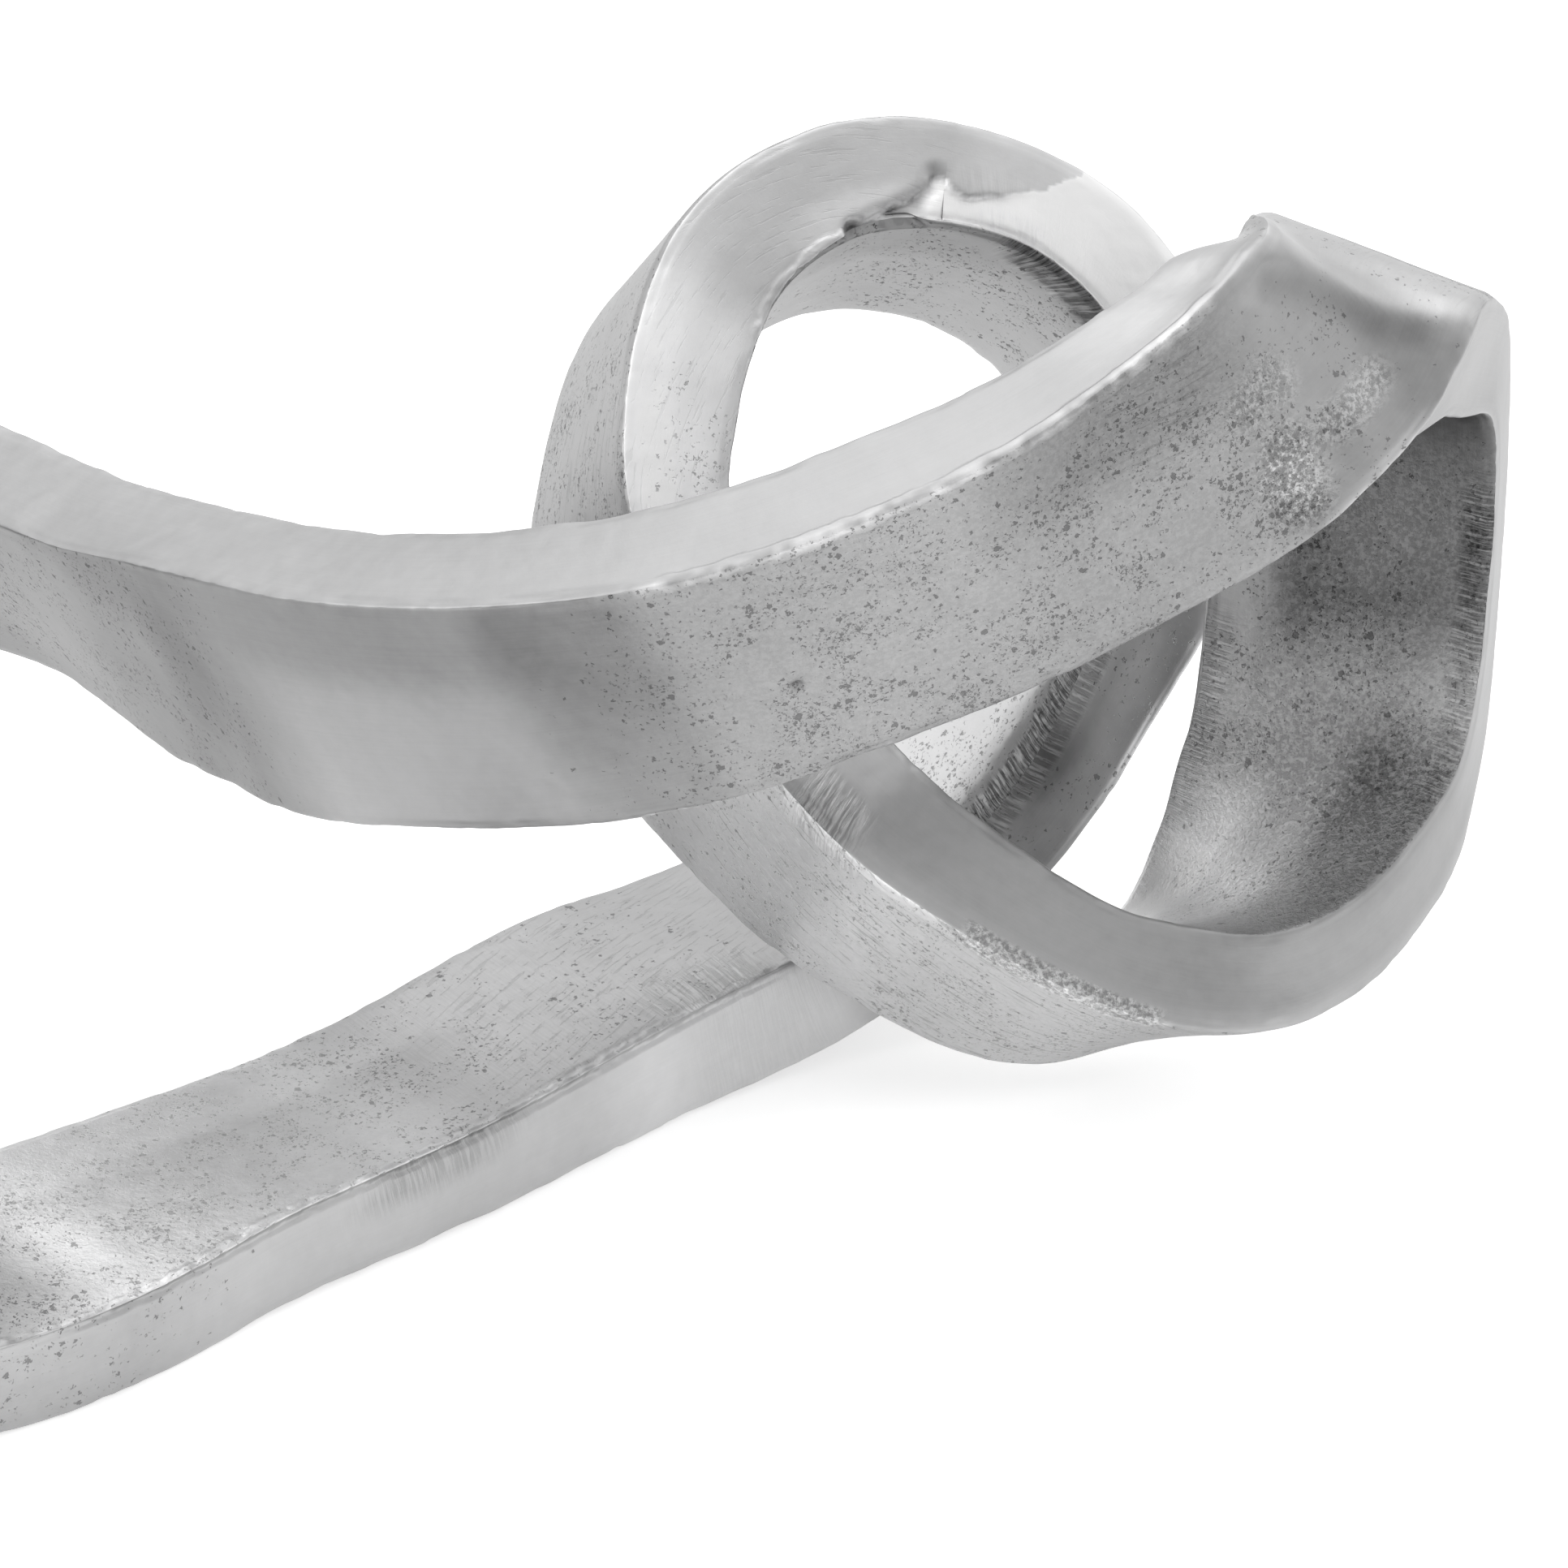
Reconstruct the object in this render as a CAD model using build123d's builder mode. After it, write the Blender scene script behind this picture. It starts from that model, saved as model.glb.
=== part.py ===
"""Knot sculpture: one flat bar of cast aluminium that closes on itself through an open coil.

The bar starts at the left bend, crosses the front, folds back over the top at the right, drops behind,
hooks under, rises as a ring and comes down again to the arm that lies on the table.
It is cast in eight curved lengths. At each joint two dowel pins line up the ends, and a bead of weld
fills the groove that runs round both rims, ground flush with the bar.
"""
import os

from build123d import *

os.makedirs("parts", exist_ok=True)

# Overall reach of the bar, in millimetres
sculpture_length = 280.0
sculpture_depth = 190.0
sculpture_height = 120.0

# The bar itself
bar_width = 35.0
bar_thickness = 13.0
edge_radius = 1.5

# Flat ground on the underside, where the arm rests on the table
rest_flat_depth = 0.5

# Joints between two castings
groove_depth = 1.8
groove_half_width = 1.5
dowel_diameter = 4.0
dowel_length = 14.0
dowel_spacing = 16.0
dowel_chamfer = 0.4
dowel_clearance = 0.1
dowel_end_gap = 0.5

# Sections of each loft between two key sections
sections_per_key = 3
fold_sections_per_key = 4

# Key sections in their order along the bar, as shares: the centre (of the length, depth and height),
# the way in which the wide side points, the width (of bar_width) and thickness (of bar_thickness)
key_shares = [
    # left bend, rising to the rear
    (-0.636, -0.042, 0.283, 0.35, 0.35, 0.85, 0.97, 1.00),
    (-0.600, 0.232, 0.383, 0.05, 0.10, 0.98, 0.97, 1.00),
    # front arm, from the rear left to the front
    (-0.493, 0.389, 0.408, -0.15, -0.15, 0.98, 1.00, 1.00),
    (-0.371, 0.321, 0.383, -0.35, -0.40, 0.85, 1.06, 1.08),
    (-0.279, 0.129, 0.408, -0.22, -0.42, 0.88, 1.09, 1.08),
    (-0.179, -0.082, 0.496, -0.05, -0.38, 0.93, 1.00, 1.08),
    (-0.054, -0.195, 0.592, -0.10, -0.36, 0.93, 1.01, 1.08),
    # front band, climbing to the right
    (0.075, -0.203, 0.708, -0.25, -0.36, 0.90, 1.00, 1.04),
    (0.166, -0.166, 0.808, -0.50, -0.24, 0.82, 0.97, 1.00),
    # fold over the top
    (0.212, -0.118, 0.861, -0.60, 0.05, 0.78, 0.89, 1.00),
    (0.231, -0.076, 0.872, -0.88, 0.34, 0.26, 0.86, 1.15),
    (0.242, -0.032, 0.848, -0.93, 0.22, 0.30, 0.86, 1.19),
    (0.250, 0.024, 0.779, -0.96, 0.16, 0.20, 0.94, 1.04),
    # riser behind
    (0.251, 0.055, 0.625, -0.97, 0.22, 0.00, 1.00, 1.00),
    (0.249, 0.048, 0.444, -0.97, 0.25, 0.00, 1.00, 1.00),
    (0.242, 0.021, 0.325, -0.93, 0.34, -0.08, 1.00, 1.00),
    # hook under the front band
    (0.221, -0.029, 0.237, -0.78, 0.60, -0.18, 1.00, 1.00),
    (0.179, -0.071, 0.165, -0.50, 0.77, -0.40, 1.00, 1.08),
    (0.118, -0.095, 0.167, -0.36, 0.72, -0.60, 1.00, 1.00),
    (0.045, -0.075, 0.255, -0.29, 0.69, -0.67, 1.00, 1.15),
    (-0.004, -0.038, 0.340, -0.32, 0.67, -0.68, 1.00, 1.19),
    (-0.046, 0.005, 0.438, -0.35, 0.67, -0.66, 1.01, 1.04),
    # ring, up the left side, over and down the right
    (-0.068, 0.055, 0.583, -0.36, 0.67, -0.65, 1.01, 1.08),
    (-0.045, 0.132, 0.756, -0.32, 0.71, -0.62, 1.00, 1.19),
    (0.013, 0.184, 0.827, -0.27, 0.74, -0.61, 1.00, 1.12),
    (0.082, 0.203, 0.806, -0.24, 0.75, -0.61, 1.00, 1.04),
    (0.135, 0.211, 0.708, -0.21, 0.74, -0.63, 1.00, 1.04),
    (0.162, 0.210, 0.555, -0.25, 0.73, -0.64, 1.00, 1.04),
    (0.156, 0.198, 0.412, -0.38, 0.75, -0.54, 1.00, 1.04),
    (0.115, 0.168, 0.288, -0.55, 0.78, -0.30, 1.00, 1.04),
    (0.058, 0.126, 0.146, -0.58, 0.80, -0.18, 0.97, 1.04),
    # lower arm, flat on the table, and the start of the left bend
    (-0.011, 0.074, 0.071, -0.60, 0.79, -0.08, 0.97, 1.12),
    (-0.079, -0.005, 0.058, -0.68, 0.73, 0.00, 0.97, 1.12),
    (-0.168, -0.147, 0.051, -0.70, 0.71, 0.00, 0.96, 0.96),
    (-0.246, -0.261, 0.057, -0.70, 0.71, 0.04, 0.96, 0.96),
    (-0.332, -0.395, 0.079, -0.62, 0.70, 0.20, 0.97, 1.04),
    (-0.464, -0.463, 0.113, -0.10, 0.90, 0.40, 0.97, 1.00),
    (-0.582, -0.326, 0.175, 0.35, 0.70, 0.62, 0.97, 1.00),
]
key_count = len(key_shares)

# Places of the joints, counted in key sections along the bar
joint_places = {
    "rear": 2.3,
    "front": 6.0,
    "shoulder": 7.75,
    "riser": 14.0,
    "crossing": 19.6,
    "ring_top": 24.55,
    "foot": 31.3,
    "left": 35.5,
}

# Each casting runs from one joint to the next
castings = {
    "front_arm": ("rear", "front"),
    "front_band": ("front", "shoulder"),
    "top_fold": ("shoulder", "riser"),
    "lower_hook": ("riser", "crossing"),
    "ring_left": ("crossing", "ring_top"),
    "ring_right": ("ring_top", "foot"),
    "lower_arm": ("foot", "left"),
    "left_bend": ("left", "rear"),
}

key_centres = [
    Vector(x * sculpture_length, y * sculpture_depth, z * sculpture_height)
    for x, y, z, *rest in key_shares
]
key_wide_ways = [Vector(*row[3:6]) for row in key_shares]
key_widths = [row[6] * bar_width for row in key_shares]
key_thicknesses = [row[7] * bar_thickness for row in key_shares]


def along(values, place):
    """Value at a place along the bar, on a smooth closed curve through all key values."""
    index = int(place)
    share = place - index
    before, start, end, after = (values[(index + step) % key_count] for step in (-1, 0, 1, 2))
    bend = before * 2 - start * 5 + end * 4 - after
    twist = start * 3 - before - end * 3 + after
    return (start * 2 + (end - before) * share + bend * share**2 + twist * share**3) * 0.5


def section(place, origin):
    """Plane, width and thickness of the bar at a place: X of the plane runs across the wide side."""
    near = 0.01
    centre = along(key_centres, place)
    forward = (along(key_centres, place + near) - along(key_centres, place - near)).normalized()
    wide_way = along(key_wide_ways, place)
    across = (wide_way - forward * wide_way.dot(forward)).normalized()
    plane = Plane(origin=centre - origin, x_dir=across, z_dir=forward)
    return plane, along(key_widths, place), along(key_thicknesses, place)


def middle_of_base():
    """Point on the table under the middle of the whole bar."""
    corners = []
    for step in range(1, key_count * sections_per_key + 1):
        plane, width, thickness = section(step / sections_per_key, Vector(0, 0, 0))
        for wide_side in (-1, 1):
            for thin_side in (-1, 1):
                corner = Vector(wide_side * width / 2, thin_side * thickness / 2, 0)
                corners.append(plane.from_local_coords(corner))
    middle_x = (min(c.X for c in corners) + max(c.X for c in corners)) / 2
    middle_y = (min(c.Y for c in corners) + max(c.Y for c in corners)) / 2
    return Vector(middle_x, middle_y, min(c.Z for c in corners) + rest_flat_depth)


base_point = middle_of_base()
joint_sections = {name: section(place, base_point) for name, place in joint_places.items()}


def groove_root(width, thickness):
    """Width, thickness and corner radius of the bar's end inside the weld groove."""
    radius = max(edge_radius - groove_depth / 2, edge_radius / 3)
    return width - 2 * groove_depth, thickness - 2 * groove_depth, radius


def clear_below_table():
    """Cut away what would reach below the table, which leaves the flat underside."""
    reach = 2 * (sculpture_length + sculpture_depth)
    Box(reach, reach, sculpture_height, align=(Align.CENTER, Align.CENTER, Align.MAX), mode=Mode.SUBTRACT)


def neck(joint, side):
    """Both faces of a casting's tapered end: its full section and the root of the groove."""
    plane, width, thickness = joint_sections[joint]
    with BuildSketch(plane.offset(side * groove_half_width)) as full:
        RectangleRounded(width, thickness, edge_radius)
    with BuildSketch(plane) as root:
        RectangleRounded(*groove_root(width, thickness))
    return [full.sketch, root.sketch]


def dowel_places(joint):
    """Places of the two dowel pins across one joint."""
    plane, width, thickness = joint_sections[joint]
    return [plane * Location((side * dowel_spacing / 2, 0, 0)) for side in (-1, 1)]


def sections_between(start, end):
    """Sections of one casting, from the neck at its first joint to the neck at its last."""
    first, last = joint_places[start], joint_places[end]
    if last < first:
        last += key_count
    per_key = fold_sections_per_key if start == "shoulder" else sections_per_key
    count = round((last - first) * per_key)
    plane, width, thickness = joint_sections[start]
    yield plane.offset(groove_half_width), width, thickness
    for step in range(1, count):
        yield section(first + (last - first) * step / count, base_point)
    plane, width, thickness = joint_sections[end]
    yield plane.offset(-groove_half_width), width, thickness


for name, (start, end) in castings.items():
    with BuildPart() as casting:
        for plane, width, thickness in sections_between(start, end):
            with BuildSketch(plane):
                RectangleRounded(width, thickness, edge_radius)
        loft()
        for joint, side in ((start, 1), (end, -1)):
            loft(neck(joint, side), ruled=True)
            with Locations(*dowel_places(joint)):
                Cylinder(
                    (dowel_diameter + dowel_clearance) / 2,
                    dowel_length + 2 * dowel_end_gap,
                    mode=Mode.SUBTRACT,
                )
        clear_below_table()
    casting.part.label = f"{name}_casting"
    export_step(casting.part, f"parts/{name}_casting.step")

for joint, (plane, width, thickness) in joint_sections.items():
    with BuildPart() as weld:
        with BuildSketch(plane.offset(-groove_half_width)):
            RectangleRounded(width, thickness, edge_radius)
        extrude(amount=2 * groove_half_width)
        for side in (-1, 1):
            loft(neck(joint, side), ruled=True, mode=Mode.SUBTRACT)
        clear_below_table()
    weld.part.label = f"{joint}_weld"
    export_step(weld.part, f"parts/{joint}_weld.step")

    with BuildPart() as dowels:
        with Locations(*dowel_places(joint)):
            Cylinder(dowel_diameter / 2, dowel_length)
        chamfer(dowels.edges().filter_by(GeomType.CIRCLE), dowel_chamfer)
    dowels.part.label = f"{joint}_dowels"
    export_step(dowels.part, f"parts/{joint}_dowels.step")
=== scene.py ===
"""Coiled metal bar sculpture, dressed over its CAD frame.

The bar is made as one continuous skin along the same key sections as the CAD source,
worked over like a filed sand casting, and then cut at the joints into castings and welds.
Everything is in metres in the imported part's own frame; key sections are in millimetres.
"""

import logging
import math
from collections.abc import Iterator
from contextlib import contextmanager
from dataclasses import dataclass, field
from enum import Enum, IntEnum

import bmesh
import bpy
import numpy as np
from mathutils import Matrix, Vector


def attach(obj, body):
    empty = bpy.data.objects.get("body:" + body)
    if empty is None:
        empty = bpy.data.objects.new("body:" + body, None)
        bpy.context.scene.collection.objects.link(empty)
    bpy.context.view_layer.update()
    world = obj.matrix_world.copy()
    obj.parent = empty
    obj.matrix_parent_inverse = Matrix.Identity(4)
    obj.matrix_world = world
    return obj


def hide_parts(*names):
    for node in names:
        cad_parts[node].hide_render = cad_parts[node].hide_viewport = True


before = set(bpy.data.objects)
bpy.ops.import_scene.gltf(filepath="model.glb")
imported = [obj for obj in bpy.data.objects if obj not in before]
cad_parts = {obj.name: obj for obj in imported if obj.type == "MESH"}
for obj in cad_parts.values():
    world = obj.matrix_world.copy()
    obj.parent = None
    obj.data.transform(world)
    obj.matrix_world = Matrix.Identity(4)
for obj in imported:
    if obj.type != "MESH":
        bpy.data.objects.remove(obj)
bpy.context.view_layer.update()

logging.basicConfig(level=logging.INFO, format="%(message)s")
log = logging.getLogger("sculpture")

Piece = bpy.types.Object
Mesh = bpy.types.Mesh
Tree = bpy.types.NodeTree
Socket = bpy.types.NodeSocket

MM = 0.001
WHOLE = (-1.2, 1.2)  # limits of a stroke over the whole of a side


class Seed(IntEnum):
    """The noise pattern that each effect is drawn from."""

    WAVES = 1
    LUMPS = 2
    GRAIN = 3
    FINE_GRAIN = 4
    WEAR = 5
    FINE_WEAR = 6
    NICKS = 7
    COMB = 8
    BITE = 9
    RAGGED = 11
    FINE_RAGGED = 12
    BORDER = 13
    FINE_BORDER = 14
    RUB = 15
    FINE_RUB = 16


class Side(Enum):
    """The four long sides of the bar, as (across, outward) signs."""

    FACE = (0, 1)
    BACK = (0, -1)
    TOP_EDGE = (1, 0)
    LOW_EDGE = (-1, 0)


@dataclass(frozen=True)
class Span:
    """A stretch of the bar between two joints.

    Args:
        name: Name of its casting.
        start, end: Its joints' places along the bar, in keys.
        joint: Name of the joint at its end.
        spacing: Between its first sections, in millimetres.
    """

    name: str
    start: float
    end: float
    joint: str
    spacing: float


# key sections, as in the CAD source and in millimetres: the centre, before the base is moved to
# the origin, the way that the wide side points, the width and the thickness
KEYS = (
    # left loop's back, outside the photograph
    (-178, -8, 34, 0.35, 0.35, 0.85, 34, 13),
    (-168, 44, 46, 0.05, 0.10, 0.98, 34, 13),
    # front arm, left to right, and the fold over the top
    (-138, 74, 49, -0.15, -0.15, 0.98, 35, 13),
    (-104, 61, 46, -0.35, -0.40, 0.85, 37, 14),
    (-78, 24.5, 49, -0.22, -0.42, 0.88, 38, 14),
    (-50, -15.5, 59.5, -0.05, -0.38, 0.93, 35, 14),
    (-15, -37, 71, -0.10, -0.36, 0.93, 35.5, 14),
    (21, -38.5, 85, -0.25, -0.36, 0.90, 35, 13.5),
    (46.5, -31.5, 97, -0.50, -0.24, 0.82, 34, 13),
    (59.5, -22.5, 103.3, -0.60, 0.05, 0.78, 31, 13),
    (64.8, -14.4, 104.6, -0.88, 0.34, 0.26, 30, 15),
    (67.8, -6, 101.8, -0.93, 0.22, 0.30, 30, 15.5),
    (69.9, 4.5, 93.5, -0.96, 0.16, 0.20, 33, 13.5),
    # riser behind
    (70.4, 10.5, 75, -0.97, 0.22, 0.00, 35, 13),
    (69.8, 9.2, 53.3, -0.97, 0.25, 0.00, 35, 13),
    (67.7, 4, 39, -0.93, 0.34, -0.08, 35, 13),
    # hook under the front band
    (62, -5.5, 28.5, -0.78, 0.60, -0.18, 35, 13),
    (50, -13.5, 19.8, -0.50, 0.77, -0.40, 35, 14),
    (33, -18, 20, -0.36, 0.72, -0.60, 35, 13),
    (12.5, -14.2, 30.6, -0.29, 0.69, -0.67, 35, 15),
    (-1, -7.2, 40.8, -0.32, 0.67, -0.68, 35, 15.5),
    (-13, 1, 52.5, -0.35, 0.67, -0.66, 35.5, 13.5),
    # ring, up the left side, over and down the right
    (-19, 10.5, 70, -0.36, 0.67, -0.65, 35.5, 14),
    (-12.5, 25, 90.7, -0.32, 0.71, -0.62, 35, 15.5),
    (3.5, 35, 99.2, -0.27, 0.74, -0.61, 35, 14.5),
    (23, 38.5, 96.7, -0.24, 0.75, -0.61, 35, 13.5),
    (37.7, 40, 85, -0.21, 0.74, -0.63, 35, 13.5),
    (45.3, 39.9, 66.6, -0.25, 0.73, -0.64, 35, 13.5),
    (43.8, 37.6, 49.5, -0.38, 0.75, -0.54, 35, 13.5),
    (32.2, 32, 34.6, -0.55, 0.78, -0.30, 35, 13.5),
    (16.2, 24, 17.5, -0.58, 0.80, -0.18, 34, 13.5),
    # lower arm on the table, and the start of the left bend
    (-3, 14, 8.5, -0.60, 0.79, -0.08, 34, 14.5),
    (-22, -1, 7, -0.68, 0.73, 0.00, 34, 14.5),
    (-47, -28, 6.1, -0.70, 0.71, 0.00, 33.5, 12.5),
    (-69, -49.5, 6.8, -0.70, 0.71, 0.04, 33.5, 12.5),
    (-93, -75, 9.5, -0.62, 0.70, 0.20, 34, 13.5),
    (-130, -88, 13.5, -0.10, 0.90, 0.40, 34, 13),
    (-163, -62, 21, 0.35, 0.70, 0.62, 34, 13),
)

JOINTS = {
    "rear": 2.3,
    "front": 6.0,
    "shoulder": 7.75,
    "riser": 14.0,
    "crossing": 19.6,
    "ring_top": 24.55,
    "foot": 31.3,
    "left": 35.5,
}

SPANS = (
    Span("front_arm", JOINTS["rear"], JOINTS["front"], "front", 4.6),
    Span("front_band", JOINTS["front"], JOINTS["shoulder"], "shoulder", 4.0),
    Span("top_fold", JOINTS["shoulder"], JOINTS["riser"], "riser", 3.6),
    Span("lower_hook", JOINTS["riser"], JOINTS["crossing"], "crossing", 4.0),
    Span("ring_left", JOINTS["crossing"], JOINTS["ring_top"], "ring_top", 4.0),
    Span("ring_right", JOINTS["ring_top"], JOINTS["foot"], "foot", 4.4),
    Span("lower_arm", JOINTS["foot"], JOINTS["left"], "left", 4.6),
    Span("left_bend", JOINTS["left"], JOINTS["rear"] + len(KEYS), "rear", 6.0),
)


class Bar:
    """The path of the flat bar: a smooth closed curve of sections through the keys."""

    CHECKS_PER_KEY = 3
    NUDGE = 0.01  # keys ahead and behind, to find the forward way
    LENGTH_STEPS = 80
    CUT_BELOW = 0.5  # millimetres that the table cuts off

    def __init__(self, keys: tuple[tuple[float, ...], ...]) -> None:
        """Takes the key sections and finds the middle of the base on the table."""
        self.count = len(keys)
        self.centres, self.ways, self.sizes = np.split(np.array(keys, float), (3, 6), axis=1)
        self.base = np.zeros(3)
        corners = []
        for step in range(self.count * self.CHECKS_PER_KEY):
            centre, across, outward, (wide, thick) = self.section(step / self.CHECKS_PER_KEY)
            for a in (-0.5, 0.5):
                for b in (-0.5, 0.5):
                    corners.append(centre + a * wide * across + b * thick * outward)
        low, high = np.min(corners, axis=0), np.max(corners, axis=0)
        self.base = (low + high) / 2
        self.base[2] = low[2] + self.CUT_BELOW

    def along(self, values: np.ndarray, place: float) -> np.ndarray:
        """Value at a place along the bar, on a smooth closed curve through all key values."""
        index = math.floor(place)
        share = place - index
        before, start, end, after = (values[(index + step) % self.count] for step in (-1, 0, 1, 2))
        bend = before * 2 - start * 5 + end * 4 - after
        twist = start * 3 - before - end * 3 + after
        return (start * 2 + (end - before) * share + bend * share**2 + twist * share**3) * 0.5

    def section(self, place: float) -> tuple:
        """Centre, ways across and outward, and (width, thickness), in millimetres."""
        centre = self.along(self.centres, place) - self.base
        ahead = self.along(self.centres, place + self.NUDGE)
        forward = ahead - self.along(self.centres, place - self.NUDGE)
        forward /= np.linalg.norm(forward)
        way = self.along(self.ways, place)
        across = way - forward * way.dot(forward)
        across /= np.linalg.norm(across)
        return centre, across, np.cross(forward, across), self.along(self.sizes, place)

    def run(self, places: np.ndarray) -> np.ndarray:
        """Length of the centre line from the first of some places to each, in millimetres."""
        points = np.array([self.along(self.centres, place) for place in places])
        steps = np.linalg.norm(np.diff(points, axis=0), axis=1)
        return np.concatenate(([0.0], steps.cumsum()))

    def length(self, start: float, end: float) -> float:
        """Length of the centre line between two places, in millimetres."""
        return float(self.run(np.linspace(start, end, self.LENGTH_STEPS))[-1])


BAR = Bar(KEYS)


def deselect() -> None:
    """Leaves edit mode and deselects everything."""
    if bpy.context.object and bpy.context.object.mode != "OBJECT":
        bpy.ops.object.mode_set(mode="OBJECT")
    bpy.ops.object.select_all(action="DESELECT")


def pick(piece: Piece) -> None:
    """Makes a piece the only selected one, and active."""
    deselect()
    piece.select_set(True)
    bpy.context.view_layer.objects.active = piece


@contextmanager
def editing(piece: Piece) -> Iterator[None]:
    """Keeps a piece, picked alone, in edit mode for a while."""
    pick(piece)
    bpy.ops.object.mode_set(mode="EDIT")
    yield
    bpy.ops.object.mode_set(mode="OBJECT")


def read(mesh: Mesh, name: str) -> np.ndarray:
    """Values of one of a mesh's point attributes."""
    values = np.zeros(len(mesh.vertices), np.float32)
    mesh.attributes[name].data.foreach_get("value", values)
    return values.astype(float)


def write(mesh: Mesh, name: str, values: np.ndarray) -> None:
    """Keeps values as one of a mesh's point attributes."""
    layer = mesh.attributes.get(name) or mesh.attributes.new(name, "FLOAT", "POINT")
    layer.data.foreach_set("value", values.astype(np.float32))


SEED_SHIFT = 17.31
HASH_AXES = (73856093, 19349663, 83492791)
HASH_SEED = 2654435
HASH_MIX = 1274126177
HASH_LEVELS = 4096


def noise(points: np.ndarray, scale: float, seed: Seed) -> np.ndarray:
    """Smooth value noise from -1 to 1 at points in millimetres.

    Args:
        points: N by 3 places.
        scale: Size of one lump in millimetres.
        seed: Which pattern.

    Returns:
        One value for each point.
    """
    grid = points / scale + seed * SEED_SHIFT
    cell = np.floor(grid).astype(np.int64)
    share = grid - cell
    share = share * share * (3 - 2 * share)
    total = np.zeros(len(points))
    for corner in range(8):
        step = np.array((corner & 1, corner >> 1 & 1, corner >> 2 & 1))
        code = np.bitwise_xor.reduce((cell + step) * HASH_AXES, axis=1) ^ (seed * HASH_SEED)
        code = (code ^ (code >> 13)) * HASH_MIX & 0x7FFFFFFF
        value = (code >> 7) % HASH_LEVELS / (HASH_LEVELS / 2) - 1
        total += value * np.prod(np.where(step, share, 1 - share), axis=1)
    return total


def step_up(value: np.ndarray, low: float, high: float) -> np.ndarray:
    """Smooth rise from 0 at low to 1 at high."""
    share = np.clip((value - low) / (high - low), 0, 1)
    return share * share * (3 - 2 * share)


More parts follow.
